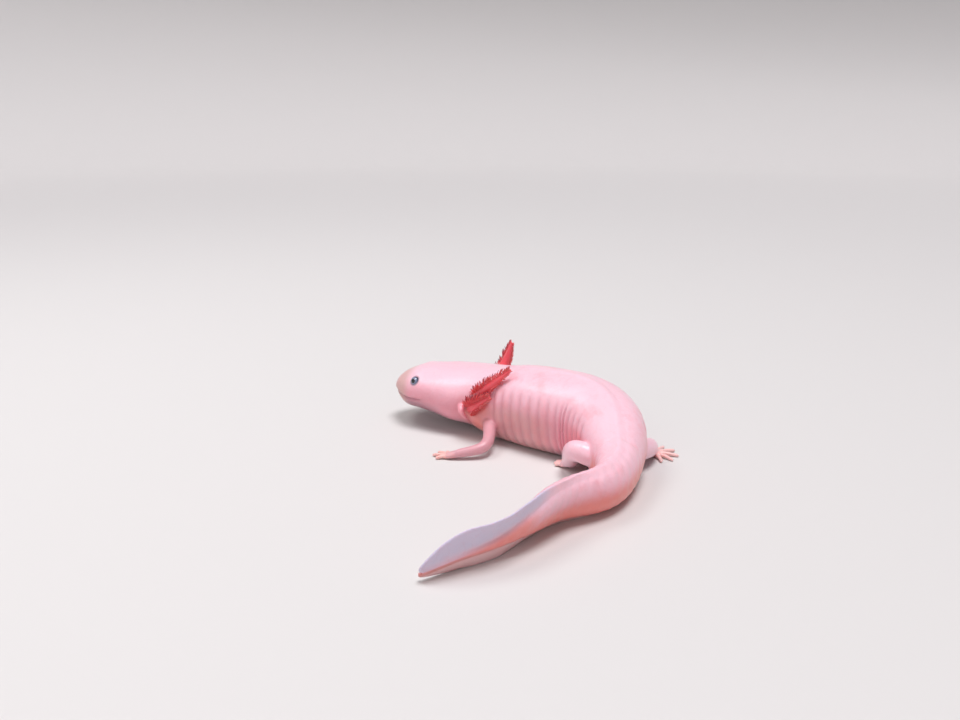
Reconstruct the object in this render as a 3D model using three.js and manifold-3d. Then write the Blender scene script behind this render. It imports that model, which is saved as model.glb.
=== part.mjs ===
// Leucistic axolotl (Ambystoma mexicanum), adult, resting on its belly with its head
// raised and its tail curled round to the left. Millimetres, +Z up, the floor is the
// plane Z = 0. The origin is on the floor under the belly; the snout points towards
// -X and the left flank faces -Y. Every form follows one curved midline, measured by
// the distance from the tip of the snout.

import * as THREE from 'three';
import Module from 'manifold-3d';
import { LoftGeometry } from 'three/addons/geometries/LoftGeometry.js';
import { mergeVertices } from 'three/addons/utils/BufferGeometryUtils.js';

const wasm = await Module();
wasm.setup();

// ---------------------------------------------------------------- driving sizes

const TOTAL_LENGTH = 240;
const GAP = 0.3;                       // clearance left between touching parts
const REST = 88;                       // where along the body the origin lies

// Course of the midline: [distance from the snout, heading in degrees]. The heading
// is the way towards the tail, counted anticlockwise from +X.
const COURSE = [
  [0, -16], [34, -22], [50, -34.5], [68, -38], [84, -36], [96, -40.5], [108, -67.5], [122, -88],
  [138, -97], [154, -120], [170, -149.5], [188, -127], [210, -142], [TOTAL_LENGTH, -161],
];

// Fleshy body: [distance, half width, height above the centre, depth below it,
// clearance under the section]. Where the clearance is negative the body rests on
// the floor and is pressed flat.
const BODY = [
  [0, 9.8, 5.4, 6.2, 10.8],
  [7, 12.8, 7.3, 8.0, 9.2],
  [14, 15.6, 9.4, 9.6, 7.4],
  [24, 17.9, 11.4, 11.2, 5.2],
  [35, 18.8, 12.8, 12.2, 3.2],
  [45, 17.4, 13.8, 13.4, 1.8],
  [55, 17.5, 15.0, 14.8, 0.2],
  [66, 17.8, 16.2, 16.4, -0.4],
  [80, 18.6, 16.8, 17.0, -0.6],
  [96, 18.3, 16.8, 16.8, -0.6],
  [110, 16.2, 15.8, 14.8, -0.2],
  [122, 13.6, 14.2, 12.6, 0.4],
  [134, 10.2, 11.8, 10.2, 0.4],
  [148, 7.4, 9.6, 8.2, 0],
  [164, 6.0, 8.7, 8.0, -0.2],
  [180, 4.9, 8.4, 8.0, -0.2],
  [191, 4.2, 7.9, 7.5, -0.2],
  [202, 3.3, 5.1, 4.8, -0.2],
  [214, 2.2, 2.7, 2.5, -0.2],
  [226, 1.4, 1.5, 1.4, -0.2],
  [TOTAL_LENGTH, 0.8, 1.0, 1.0, -0.2],
];
const RING_POINTS = 24;                        // points round a section
const SNOUT_ROUND = { width: 14, height: 8 };  // length over which the snout rounds off

// Squareness of a section: 2 is an ellipse, more is boxier. The belly is pressed broad
// and flat: [distance, squareness of the lower half].
const SQUARENESS = 2.25;
const BELLY = [[0, SQUARENESS], [42, SQUARENESS], [58, 3], [96, 2.9], [130, 2.4], [TOTAL_LENGTH, SQUARENESS]];

// Named lengths of the body: [name, start, end, spacing of the sections]. The sections of
// the head crowd together where the snout rounds off.
const SNOUT_STEPS = [0.12, 0.6, 1.4, 2.6, 4.4, 6.6];
const SNOUT_END = 9.2;
const HEAD_STEP = 4;
const HEAD_END = 46;
const MUSCLE_END = 239;
const BODY_LENGTHS = [
  ['neck', HEAD_END, 56, 5], ['trunk_front', 56, 76, 5], ['trunk_middle', 76, 100, 5.2],
  ['trunk_rear', 100, 122, 4.4], ['hips', 122, 140, 4.4], ['tail_base', 140, 170, 5],
  ['tail_middle', 170, 204, 5.6], ['tail_end', 204, MUSCLE_END, 5.8],
];

// Lean of the section in degrees: the tail stands on its lower fin and its upper
// fin tips over to the right, outwards from the bend.
const LEAN = [[0, 0], [140, 0], [152, 1], [164, 7], [182, 21], [196, 22], [TOTAL_LENGTH, 23]];

// Fins: [distance, height over the flesh, half thickness at the root].
const DORSAL_FIN = [
  [58, 0.5, 1.4], [78, 0.8, 2.0], [108, 0.9, 2.4], [128, 1.0, 2.4], [148, 1.1, 2.2], [164, 1.4, 1.9],
  [180, 1.9, 1.6], [191, 2.8, 1.4], [202, 5.3, 1.2], [214, 8.1, 0.95], [226, 8.9, 0.75],
  [TOTAL_LENGTH, 6.8, 0.55],
];
const VENTRAL_FIN = [
  [140, 0.6, 1.2], [150, 1.1, 1.3], [164, 2.0, 1.4], [180, 3.2, 1.3], [191, 4.2, 1.2], [202, 5.9, 1.1],
  [214, 6.3, 0.9], [226, 6.0, 0.75], [TOTAL_LENGTH, 3.0, 0.55],
];
const FIN_LENGTHS = [
  ['dorsal_fin_back', 60, 128, 1], ['dorsal_fin_base', 128, 170, 1], ['dorsal_fin_middle', 170, 204, 1],
  ['dorsal_fin_end', 204, TOTAL_LENGTH, 1], ['ventral_fin_base', 140, 170, -1],
  ['ventral_fin_middle', 170, 204, -1], ['ventral_fin_end', 204, TOTAL_LENGTH, -1],
];
const FIN = {
  edge: 0.38,              // half thickness of the free edge
  step: 5.7,               // spacing of the sections
  tipRound: 13,            // length over which the tail tip rounds off
  wave: 1.0,               // sideways swing of the free edge where the fin is tallest
  waveLength: 34,
  tallest: 10,
  least: 0.48,             // least height
};

const EYE = { s: 15.5, side: 12.9, up: 5.0, radius: 2.2, facets: [12, 8] };

// Mouth line from the snout to its corner, as heights over the centre of the head.
const MOUTH = { start: -5, front: -1.6, sagAt: 10.5, sag: -3.4, corner: 19, cornerHeight: -2.2 };
const JAW = { end: 25, under: -30, width: 60 };     // the lower jaw lies inside these

// Limbs: root as [distance, to the right, up from the centre]; the bend and the wrist
// or ankle as places in the frame of the model. Radii are [across, thick] at each
// joint. Digits fan about a heading, first to last.
const FORE = { names: ['upper_arm', 'forearm', 'hand'], radii: [[3.0, 3.3], [2.4, 2.5], [1.8, 1.7]] };
const HIND = { names: ['thigh', 'shank', 'foot'], radii: [[4.2, 4.2], [3.5, 3.7], [2.9, 2.8]] };
const LIMBS = {
  left_fore: {
    ...FORE, root: [56.5, -12, -5], bend: [-35, -11.8, 4.8], end: [-47, -14.4, 2.3],
    digits: { heading: 150, spread: 24, lengths: [5.4, 7.4, 7.0, 5.0] },
  },
  right_fore: {
    ...FORE, root: [58, 12, -5], bend: [-7.2, 42, 4.6], end: [-15, 54, 2.3],
    digits: { heading: 128, spread: -24, lengths: [5.4, 7.4, 7.0, 5.0] },
  },
  left_hind: {
    ...HIND, root: [133, -5, -1], bend: [0.6, -34.5, 12.0], end: [-0.3, -24.3, 3.6],
    digits: { heading: 125, spread: 18, lengths: [3.6, 4.8, 5.4, 5.0, 3.8] },
  },
  right_hind: {
    ...HIND, root: [124, 6, -3], bend: [32, -18.5, 6.8], end: [34.8, -9.2, 3.4],
    digits: { heading: -13, spread: -32, lengths: [7.2, 8.6, 9.4, 9.2, 8.0] },
  },
};
const UPPER = [0, 0.49];                 // stretches of a limb, as fractions of its length
const LOWER = [0.5, 0.97];
const WRIST = [0.3, 0.985];
const PALM = {
  length: 4.6, middleAt: 0.55, middleHeight: 1.5, endHeight: 1.0,
  sizes: [[1.7, 1.6], [2.7, 1.3], [2.16, 0.9]],
};
const DIGIT = {
  from: 0.65, fan: 0.6,                  // where on the palm it starts, and how far round
  middleAt: 0.55, height: 1.0, tipHeight: 0.42,
  sizes: [[0.95, 0.95], [0.8, 0.75], [0.6, 0.5]],
};

// Gill stalks: root as [distance, outwards, up], then how far the tip lies back,
// outwards and up from it. A stalk starts a little inside the flesh, turns out of it over
// the first third, bows outwards at its bend and tapers to its tip.
const GILLS = {
  left: {
    upper: { root: [49, 16.0, 2.2], tip: [18.0, -3.5, 16.8], radius: 2.9 },
    middle: { root: [45.5, 16.6, -3.4], tip: [14.0, 2.5, 10.5], radius: 2.4 },
    lower: { root: [41.5, 16.8, 0.6], tip: [4.5, 2.5, -6.0], radius: 1.9 },
  },
  right: {
    upper: { root: [43, 16.0, 2.2], tip: [7.5, 0.5, 19.3], radius: 2.9 },
    middle: { root: [46, 16.6, -3.6], tip: [12.0, 6.0, 4.0], radius: 2.4 },
    lower: { root: [42.5, 16.8, -3.5], tip: [5.0, 4.0, -5.0], radius: 1.9 },
  },
};
const STALK = { sunk: 2.5, outBy: 1 / 3, bendAt: 0.45, bow: 1.6, taper: 0.72, tip: 0.6 };
const FILAMENT = {
  rows: 5, first: 0.3, last: 0.93,       // fractions of the stalk
  endLength: 1.95, middleLength: 3.25, fromStalk: 0.6,
  outwards: 0.4, onwards: 0.55,          // how far it turns from straight across
  sizes: [[0.55, 0.55], [0.38, 0.38]],
};

// ---------------------------------------------------------------- helpers

const radians = THREE.MathUtils.degToRad;
const UP = new THREE.Vector3(0, 0, 1);
const MERGE = 1e-4;                      // vertices nearer than this are one

// Smooth curve through the rows of a table; gives the row at any distance.
function smooth(rows) {
  const curve = new THREE.CubicInterpolant(
    rows.map((row) => row[0]), rows.flatMap((row) => row.slice(1)), rows[0].length - 1);
  const first = rows[0][0];
  const last = rows[rows.length - 1][0];
  return (s) => [...curve.evaluate(THREE.MathUtils.clamp(s, first, last))];
}

// Evenly spaced distances from a to b, both included.
function steps(a, b, spacing) {
  const count = Math.max(1, Math.round((b - a) / spacing));
  return Array.from({ length: count + 1 }, (_, i) => a + (b - a) * i / count);
}

function toSolid(geometry) {
  const bare = new THREE.BufferGeometry();
  bare.setAttribute('position', geometry.getAttribute('position'));
  bare.setIndex(geometry.index);
  const merged = mergeVertices(bare, MERGE);
  return new wasm.Manifold(new wasm.Mesh({
    numProp: 3,
    vertProperties: new Float32Array(merged.getAttribute('position').array),
    triVerts: new Uint32Array(merged.index.array),
  }));
}

function toGeometry(solid) {
  const mesh = solid.getMesh();
  const geometry = new THREE.BufferGeometry();
  geometry.setAttribute('position', new THREE.BufferAttribute(mesh.vertProperties, 3));
  geometry.setIndex(new THREE.BufferAttribute(mesh.triVerts, 1));
  geometry.computeVertexNormals();
  return geometry;
}

const loft = (rings) => toSolid(new LoftGeometry(rings, { closed: true, capStart: true, capEnd: true }));

// The largest separate piece of a solid, without the chips and cavities of a cut.
const mainPiece = (solid) =>
  solid.decompose().reduce((largest, piece) => (piece.volume() > largest.volume() ? piece : largest));

const join = (solids) => solids.reduce((whole, solid) => whole.add(solid));

// Quarter-ellipse growth from 0 at the start to 1 after the given length.
const roundOff = (s, length) => Math.sqrt(1 - (1 - THREE.MathUtils.clamp(s / length, 0, 1)) ** 2);

const power = (value, exponent) => Math.sign(value) * Math.abs(value) ** exponent;

const SLAB = { side: 400, depth: 100 };
const floor = toSolid(
  new THREE.BoxGeometry(SLAB.side, SLAB.side, SLAB.depth).translate(0, 0, -SLAB.depth / 2));

// ---------------------------------------------------------------- midline

const headingAt = smooth(COURSE);
const bodyAt = smooth(BODY);
const bellyAt = smooth(BELLY);
const leanAt = smooth(LEAN);
const dorsalAt = smooth(DORSAL_FIN);
const ventralAt = smooth(VENTRAL_FIN);

// The midline on the floor, a point for each millimetre, with the origin at REST.
const midline = [new THREE.Vector3()];
for (let s = 0; s < TOTAL_LENGTH; s++) {
  const heading = radians(headingAt(s + 0.5)[0]);
  midline.push(midline[s].clone().add(new THREE.Vector3(Math.cos(heading), Math.sin(heading), 0)));
}
const origin = midline[REST].clone();
for (const point of midline) point.sub(origin);

// Frame of the section at distance s: its centre and the ways to the animal's right,
// back and tail.
function frameAt(s) {
  const i = Math.min(Math.floor(s), TOTAL_LENGTH - 1);
  const heading = radians(headingAt(s)[0]);
  const lean = radians(leanAt(s)[0]);
  const [, , below, clearance] = bodyAt(s);
  const depth = below + (s > VENTRAL_FIN[0][0] ? ventralAt(s)[0] : 0);
  const centre = midline[i].clone().lerp(midline[i + 1], s - i).setZ(clearance + depth * Math.cos(lean));
  const level = new THREE.Vector3(-Math.sin(heading), Math.cos(heading), 0);
  const right = level.clone().multiplyScalar(Math.cos(lean)).addScaledVector(UP, -Math.sin(lean));
  const back = UP.clone().multiplyScalar(Math.cos(lean)).addScaledVector(level, Math.sin(lean));
  return { centre, right, back, tail: right.clone().cross(back) };
}

// Point at distance s, u to the animal's right and w towards its back.
function place(s, u, w) {
  const { centre, right, back } = frameAt(s);
  return centre.addScaledVector(right, u).addScaledVector(back, w);
}

// ---------------------------------------------------------------- body

function bodySize(s) {
  const [halfWidth, above, below] = bodyAt(s);
  return {
    halfWidth: halfWidth * roundOff(s, SNOUT_ROUND.width),
    above: above * roundOff(s, SNOUT_ROUND.height),
    below: below * roundOff(s, SNOUT_ROUND.height),
  };
}

function bodyRing(s, grow = 0) {
  const { halfWidth, above, below } = bodySize(s);
  const [belly] = bellyAt(s);
  return Array.from({ length: RING_POINTS }, (_, i) => {
    const turn = 2 * Math.PI * i / RING_POINTS;
    const squareness = Math.sin(turn) > 0 ? SQUARENESS : belly;
    const across = power(Math.cos(turn), 2 / squareness);
    const high = power(Math.sin(turn), 2 / squareness);
    return place(s, across * (halfWidth + grow), high * ((high > 0 ? above : below) + grow));
  });
}

const bodyLength = (from, to, spacing, grow = 0) =>
  loft(steps(from, to, spacing).map((s) => bodyRing(s, grow)));

const fromSnout = (end, grow = 0) =>
  loft([...SNOUT_STEPS, ...steps(SNOUT_END, end, HEAD_STEP)].map((s) => bodyRing(s, grow)));

// The flesh a little larger, for cutting what grows out of it.
const clearance = fromSnout(MUSCLE_END, GAP);

// ---------------------------------------------------------------- head

function eyeBall(side, grow = 0) {
  const { x, y, z } = place(EYE.s, side * EYE.side, EYE.up);
  return toSolid(new THREE.SphereGeometry(EYE.radius + grow, ...EYE.facets).translate(x, y, z));
}

// Block that holds the lower jaw: its side profile lies under the mouth line and
// runs right across the head.
function jawBlock(grow) {
  const profile = new THREE.Shape();
  profile.moveTo(MOUTH.start, MOUTH.front + grow);
  profile.quadraticCurveTo(
    MOUTH.sagAt, MOUTH.sag + grow, MOUTH.corner + grow, MOUTH.cornerHeight + grow);
  profile.lineTo(JAW.end + grow, JAW.under);
  profile.lineTo(MOUTH.start, JAW.under);
  const { centre, right, back, tail } = frameAt(0);
  const block = new THREE.ExtrudeGeometry(
    profile, { depth: JAW.width, bevelEnabled: false, curveSegments: 5 });
  block.translate(0, 0, -JAW.width / 2);
  block.applyMatrix4(new THREE.Matrix4().makeBasis(tail, back, right.negate()).setPosition(centre));
  return toSolid(mergeVertices(block.deleteAttribute('normal').deleteAttribute('uv')));
}

// ---------------------------------------------------------------- fins

// Section of the blade on the upper (side 1) or lower (side -1) edge of the body.
// It thins from its root to a free edge that swings gently from side to side.
function finRing(s, table, side) {
  const { above, below } = bodySize(s);
  const [height, root] = table(s);
  const start = (side > 0 ? above : below) + GAP;
  const reach = Math.max(height * roundOff(TOTAL_LENGTH + GAP - s, FIN.tipRound), FIN.least);
  const swing = FIN.wave * Math.sin(2 * Math.PI * s / FIN.waveLength) * height / FIN.tallest;
  const edge = Math.min(FIN.edge, root);
  const faces = [[0, root], [0.5, (root + edge) / 2], [1 - edge / reach, edge]];
  const right = faces.map(([along, half]) => [swing * along ** 2 + half, along * reach]);
  const left = faces.map(([along, half]) => [swing * along ** 2 - half, along * reach]).reverse();
  const ring = [...right, [swing, reach], ...left].map(([u, w]) => place(s, u, side * (start + w)));
  return side > 0 ? ring : ring.reverse();
}

const fin = (from, to, table, side) =>
  mainPiece(loft(steps(from, to, FIN.step).map((s) => finRing(s, table, side))).subtract(floor));

// ---------------------------------------------------------------- limbs and gills

// Rings of a tapering stalk along a smooth curve through its joints, between two
// fractions of its length. Sizes are [half width, half thickness] at each joint.
function stalkRings({ joints, sizes, count, points, from = 0, to = 1 }) {
  const curve = new THREE.CatmullRomCurve3(joints, false, 'centripetal');
  const sizeAt = smooth(sizes.map((size, i) => [i / (sizes.length - 1), ...size]));
  return Array.from({ length: count + 1 }, (_, k) => {
    const t = from + (to - from) * k / count;
    const centre = curve.getPoint(t);
    const tangent = curve.getTangent(t);
    const side = UP.clone().cross(tangent).normalize();
    const top = tangent.clone().cross(side);
    const [wide, thick] = sizeAt(t);
    return Array.from({ length: points }, (_, i) => {
      const turn = 2 * Math.PI * (i + 0.5) / points;
      return centre.clone().addScaledVector(side, Math.cos(turn) * wide)
        .addScaledVector(top, Math.sin(turn) * thick);
    });
  });
}

// Point at a length from another in a direction over the floor, at a height.
const beyond = (start, degrees, length, height) => new THREE.Vector3(
  start.x + Math.cos(radians(degrees)) * length, start.y + Math.sin(radians(degrees)) * length, height);

// Palm or sole with its digits joined on, lying flat on the floor.
function handSolid({ end, digits: { heading, spread, lengths } }) {
  const wrist = new THREE.Vector3(...end);
  const palm = loft(stalkRings({
    joints: [wrist, beyond(wrist, heading, PALM.length * PALM.middleAt, PALM.middleHeight),
      beyond(wrist, heading, PALM.length, PALM.endHeight)],
    sizes: PALM.sizes, count: 2, points: 8,
  }));
  const middle = (lengths.length - 1) / 2;
  const fingers = lengths.map((length, i) => {
    const turn = (middle - i) * spread;
    const root = beyond(wrist, heading + turn * DIGIT.fan, PALM.length * DIGIT.from, DIGIT.height);
    return loft(stalkRings({
      joints: [root, beyond(root, heading + turn, length * DIGIT.middleAt, DIGIT.height),
        beyond(root, heading + turn, length, DIGIT.tipHeight)],
      sizes: DIGIT.sizes, count: 2, points: 6,
    }));
  });
  return join([palm, ...fingers]);
}

// Upper and lower length of a limb and its hand or foot.
function limbSolids(limb) {
  const joints = [place(...limb.root), new THREE.Vector3(...limb.bend), new THREE.Vector3(...limb.end)];
  const stretch = ([from, to], count, grow = 0) => loft(stalkRings({
    joints, sizes: limb.radii.map((pair) => pair.map((r) => r + grow)), count, points: 8, from, to,
  }));
  return [
    stretch(UPPER, 5),
    stretch(LOWER, 4).subtract(stretch(UPPER, 5, GAP)),
    handSolid(limb).subtract(stretch(WRIST, 6, GAP)),
  ].map((solid) => mainPiece(solid.subtract(clearance).subtract(floor)));
}

// Gill stalk with two rows of filaments, cut where it leaves the body.
function gillSolid(side, { root: [s, outward, up], tip, radius }) {
  const { right, back, tail } = frameAt(s);
  const outwards = right.clone().multiplyScalar(side);
  const root = place(s, side * (outward - STALK.sunk), up);
  const along = (fraction, bow) => root.clone()
    .addScaledVector(tail, tip[0] * fraction)
    .addScaledVector(outwards, tip[1] * fraction + STALK.sunk * Math.min(fraction / STALK.outBy, 1) + bow)
    .addScaledVector(back, tip[2] * fraction);
  const joints = [root, along(STALK.bendAt, STALK.bow), along(1, 0)];
  const sizes = [radius, radius * STALK.taper, STALK.tip].map((r) => [r, r]);
  const solids = [loft(stalkRings({ joints, sizes, count: 5, points: 7 }))];
  const curve = new THREE.CatmullRomCurve3(joints, false, 'centripetal');
  for (let row = 0; row < FILAMENT.rows; row++) {
    const fraction = row / (FILAMENT.rows - 1);
    const t = THREE.MathUtils.lerp(FILAMENT.first, FILAMENT.last, fraction);
    const start = curve.getPoint(t);
    const tangent = curve.getTangent(t);
    const length = radius * FILAMENT.fromStalk + THREE.MathUtils.lerp(
      FILAMENT.endLength, FILAMENT.middleLength, Math.sin(Math.PI * fraction));
    for (const hand of [-1, 1]) {
      const across = tangent.clone().cross(outwards).normalize().multiplyScalar(hand);
      const way = across.addScaledVector(outwards, FILAMENT.outwards)
        .addScaledVector(tangent, FILAMENT.onwards).normalize();
      solids.push(loft(stalkRings({
        joints: [start, start.clone().addScaledVector(way, length)],
        sizes: FILAMENT.sizes, count: 1, points: 4,
      })));
    }
  }
  return mainPiece(join(solids).subtract(clearance));
}

// ---------------------------------------------------------------- the animal

const FINISH = {
  skin: { color: 0xeeb7c0, roughness: 0.35 },
  fin: { color: 0xd9b4b8, roughness: 0.3 },
  gill: { color: 0xd8525c, roughness: 0.4 },
  eye: { color: 0x2a2c3a, roughness: 0.1 },
};
const materials = Object.fromEntries(Object.entries(FINISH).map(([name, { color, roughness }]) =>
  [name, new THREE.MeshStandardMaterial({ name, color, roughness, metalness: 0 })]));

const axolotl = new THREE.Group();
axolotl.name = 'axolotl';

function add(name, solid, finish) {
  const mesh = new THREE.Mesh(toGeometry(solid), materials[finish]);
  mesh.name = name;
  axolotl.add(mesh);
}

const head = fromSnout(HEAD_END - GAP / 2);
const sockets = join([eyeBall(-1, GAP), eyeBall(1, GAP)]);
add('head', head.subtract(jawBlock(GAP / 2)).subtract(sockets), 'skin');
add('lower_jaw', head.intersect(jawBlock(-GAP / 2)), 'skin');
add('left_eye', eyeBall(-1), 'eye');
add('right_eye', eyeBall(1), 'eye');

for (const [name, from, to, spacing] of BODY_LENGTHS)
  add(name, bodyLength(from + GAP / 2, to - GAP / 2, spacing).subtract(floor), 'skin');

for (const [name, from, to, side] of FIN_LENGTHS)
  add(name, fin(from + GAP / 2, to - GAP / 2, side > 0 ? dorsalAt : ventralAt, side), 'fin');

for (const [name, limb] of Object.entries(LIMBS)) {
  const side = name.split('_')[0];
  limbSolids(limb).forEach((solid, i) => add(`${side}_${limb.names[i]}`, solid, 'skin'));
}

for (const [side, levels] of Object.entries(GILLS))
  for (const [level, gill] of Object.entries(levels))
    add(`${side}_gill_${level}`, gillSolid(side === 'left' ? -1 : 1, gill), 'gill');

export default axolotl;
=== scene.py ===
# Leucistic axolotl (Ambystoma mexicanum), adult, life size, resting on its belly with its
# tail curled round to the left. One smooth skin is grown over the body, fins, limbs and
# gill stalks; the eyes and the gill filaments are pieces of their own. Shapes are worked
# out in millimetres in the frame of the solids and turned to metres at the end.

import itertools
import math
from types import SimpleNamespace

import bmesh
import bpy
import numpy as np
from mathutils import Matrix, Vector
from mathutils.kdtree import KDTree


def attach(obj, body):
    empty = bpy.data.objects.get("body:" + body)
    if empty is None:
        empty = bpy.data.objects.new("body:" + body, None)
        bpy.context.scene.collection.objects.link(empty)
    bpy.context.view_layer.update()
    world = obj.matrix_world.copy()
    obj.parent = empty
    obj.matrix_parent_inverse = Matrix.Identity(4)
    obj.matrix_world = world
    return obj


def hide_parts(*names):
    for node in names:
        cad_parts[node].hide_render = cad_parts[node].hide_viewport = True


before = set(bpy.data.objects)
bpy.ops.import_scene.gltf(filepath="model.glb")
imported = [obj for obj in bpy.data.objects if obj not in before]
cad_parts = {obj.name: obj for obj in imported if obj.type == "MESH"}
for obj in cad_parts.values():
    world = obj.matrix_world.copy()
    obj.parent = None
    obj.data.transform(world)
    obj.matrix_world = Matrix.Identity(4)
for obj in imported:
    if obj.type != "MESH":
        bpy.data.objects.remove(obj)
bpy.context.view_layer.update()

MM = 0.001
rng = np.random.default_rng(7)

# ---------------------------------------------------------------- sizes, as in the solids

TOTAL_LENGTH = 240
REST = 88                      # where along the body the origin lies
SQUARENESS = 2.25              # of a section: 2 is an ellipse, more is boxier
SNOUT_WIDTH_ROUND = 14
SNOUT_HEIGHT_ROUND = 8
MUSCLE_END = 239

COURSE = [
    (0, -16), (34, -22), (50, -34.5), (68, -38), (84, -36), (96, -40.5), (108, -67.5),
    (122, -88), (138, -97), (154, -120), (170, -149.5), (188, -127), (210, -142),
    (TOTAL_LENGTH, -161),
]
# distance, half width, height above the centre, depth below it, clearance
BODY = [
    (0, 9.8, 5.4, 6.2, 10.8), (7, 12.8, 7.3, 8.0, 9.2), (14, 15.6, 9.4, 9.6, 7.4),
    (24, 17.9, 11.4, 11.2, 5.2), (35, 18.8, 12.8, 12.2, 3.2), (45, 17.4, 13.8, 13.4, 1.8),
    (55, 17.5, 15.0, 14.8, 0.2), (66, 17.8, 16.2, 16.4, -0.4), (80, 18.6, 16.8, 17.0, -0.6),
    (96, 18.3, 16.8, 16.8, -0.6), (110, 16.2, 15.8, 14.8, -0.2), (122, 13.6, 14.2, 12.6, 0.4),
    (134, 10.2, 11.8, 10.2, 0.4), (148, 7.4, 9.6, 8.2, 0), (164, 6.0, 8.7, 8.0, -0.2),
    (180, 4.9, 8.4, 8.0, -0.2), (191, 4.2, 7.9, 7.5, -0.2), (202, 3.3, 5.1, 4.8, -0.2),
    (214, 2.2, 2.7, 2.5, -0.2), (226, 1.4, 1.5, 1.4, -0.2), (TOTAL_LENGTH, 0.8, 1.0, 1.0, -0.2),
]
# distance, squareness of the lower half
BELLY = [
    (0, SQUARENESS), (42, SQUARENESS), (58, 3), (96, 2.9), (130, 2.4),
    (TOTAL_LENGTH, SQUARENESS),
]
LEAN = [(0, 0), (140, 0), (152, 1), (164, 7), (182, 21), (196, 22), (TOTAL_LENGTH, 23)]
# distance, height over the flesh, half thickness at the root
DORSAL_FIN = [
    (58, 0.5, 1.4), (78, 0.8, 2.0), (108, 0.9, 2.4), (128, 1.0, 2.4), (148, 1.1, 2.2),
    (164, 1.4, 1.9), (180, 1.9, 1.6), (191, 2.8, 1.4), (202, 5.3, 1.2), (214, 8.1, 0.95),
    (226, 8.9, 0.75), (TOTAL_LENGTH, 6.8, 0.55),
]
VENTRAL_FIN = [
    (140, 0.6, 1.2), (150, 1.1, 1.3), (164, 2.0, 1.4), (180, 3.2, 1.3), (191, 4.2, 1.2),
    (202, 5.9, 1.1), (214, 6.3, 0.9), (226, 6.0, 0.75), (TOTAL_LENGTH, 3.0, 0.55),
]
FIN_EDGE = 0.38                # half thickness of the free edge
FIN_RIM = 0.35                 # share of it that is left at the very rim
FIN_TAPER = 1.3                # above 1, a fin thins out soon over its root
FIN_RISE = (-1, 10)            # from where a fin starts, the span over which it rises
FIN_TIP_ROUND = 13
FIN_TIP_BLUNT = 0.3
FIN_WAVE = {"height": 1.0, "length": 34}
FIN_RIPPLE = {"height": 0.1, "length": 9.5, "phase": 1}
FIN_TALLEST = 10
FIN_ROOT = {"share": 0.5, "deepest": 2.5, "wider": 1.5}    # the part sunk in the flesh
FIN_LEVELS = np.array([0, 0.2, 0.4, 0.6, 0.8, 0.93, 1.0])

EYE = {
    "s": 15.5, "side": 12.9, "up": 5.0, "radius": 2.2, "looks_up": 0.42, "looks_ahead": 0.28,
}
MOUTH = {
    "start": -5, "front": -1.6, "sag_at": 0.55, "sag": -3.4, "corner": 19, "corner_height": -2.2,
}

FORE_SIZES = [(3.0, 3.3), (2.4, 2.5), (1.8, 1.7)]
HIND_SIZES = [(4.2, 4.2), (3.5, 3.7), (2.9, 2.8)]
LIMBS = {
    "left_fore": {
        "sizes": FORE_SIZES, "root": (56.5, -12, -5), "bend": (-35, -11.8, 4.8),
        "end": (-47, -14.4, 2.3), "heading": 150, "spread": 24, "digits": (5.4, 7.4, 7.0, 5.0),
    },
    "right_fore": {
        "sizes": FORE_SIZES, "root": (58, 12, -5), "bend": (-7.2, 42, 4.6),
        "end": (-15, 54, 2.3), "heading": 128, "spread": -24, "digits": (5.4, 7.4, 7.0, 5.0),
    },
    "left_hind": {
        "sizes": HIND_SIZES, "root": (133, -5, -1), "bend": (0.6, -34.5, 12.0),
        "end": (-0.3, -24.3, 3.6), "heading": 125, "spread": 18,
        "digits": (3.6, 4.8, 5.4, 5.0, 3.8),
    },
    "right_hind": {
        "sizes": HIND_SIZES, "root": (124, 6, -3), "bend": (32, -18.5, 6.8),
        "end": (34.8, -9.2, 3.4), "heading": -13, "spread": -32,
        "digits": (7.2, 8.6, 9.4, 9.2, 8.0),
    },
}
PALM = {
    "length": 4.6, "middle": 0.55, "middle_up": 1.5, "front_up": 1.0, "half": (2.7, 1.3),
    "front_half": (2.16, 0.95), "round": 0.25,
}
DIGIT_SIZES = [(1.0, 0.95), (0.85, 0.78), (0.66, 0.6)]
DIGIT_ROUND = 0.12
# share of the length (of the palm for the root), share of the spread, height
DIGIT_ROOT = (0.65, 0.6, 1.0)
DIGIT_KNUCKLE = (0.5, 0.9, 1.15)
DIGIT_TIP = (1, 1, 0.55)

GILLS = {
    "left": {
        "upper": {"root": (49, 16.0, 2.2), "tip": (18.0, -3.5, 16.8), "radius": 2.9},
        "middle": {
            "root": (45.5, 16.6, -3.4), "tip": (14.0, 2.5, 10.5), "radius": 2.4, "fringe": 1.5,
        },
        "lower": {
            "root": (41.5, 16.8, 0.6), "tip": (4.5, 2.5, -6.0), "radius": 1.9, "bare": True,
        },
    },
    "right": {
        "upper": {"root": (43, 16.0, 2.2), "tip": (7.5, 0.5, 19.3), "radius": 2.9},
        "middle": {"root": (46, 16.6, -3.6), "tip": (12.0, 6.0, 4.0), "radius": 2.4},
        "lower": {"root": (42.5, 16.8, -3.5), "tip": (5.0, 4.0, -5.0), "radius": 1.9},
    },
}
GILL_SUNK = 2.5                # how deep a stalk is rooted in the flesh
GILL_MIDDLE = 0.45             # where along the stalk its middle joint lies
GILL_ARCH = 1.6                # how far that joint bows outwards
GILL_WAIST = 0.72              # thickness there, to that at the root
GILL_TIP = (0.6, 0.6)
GILL_ROUND = 0.06

# ---------------------------------------------------------------- sizes of the surface

VOXEL = 0.3      # grain of the grown skin
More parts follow.
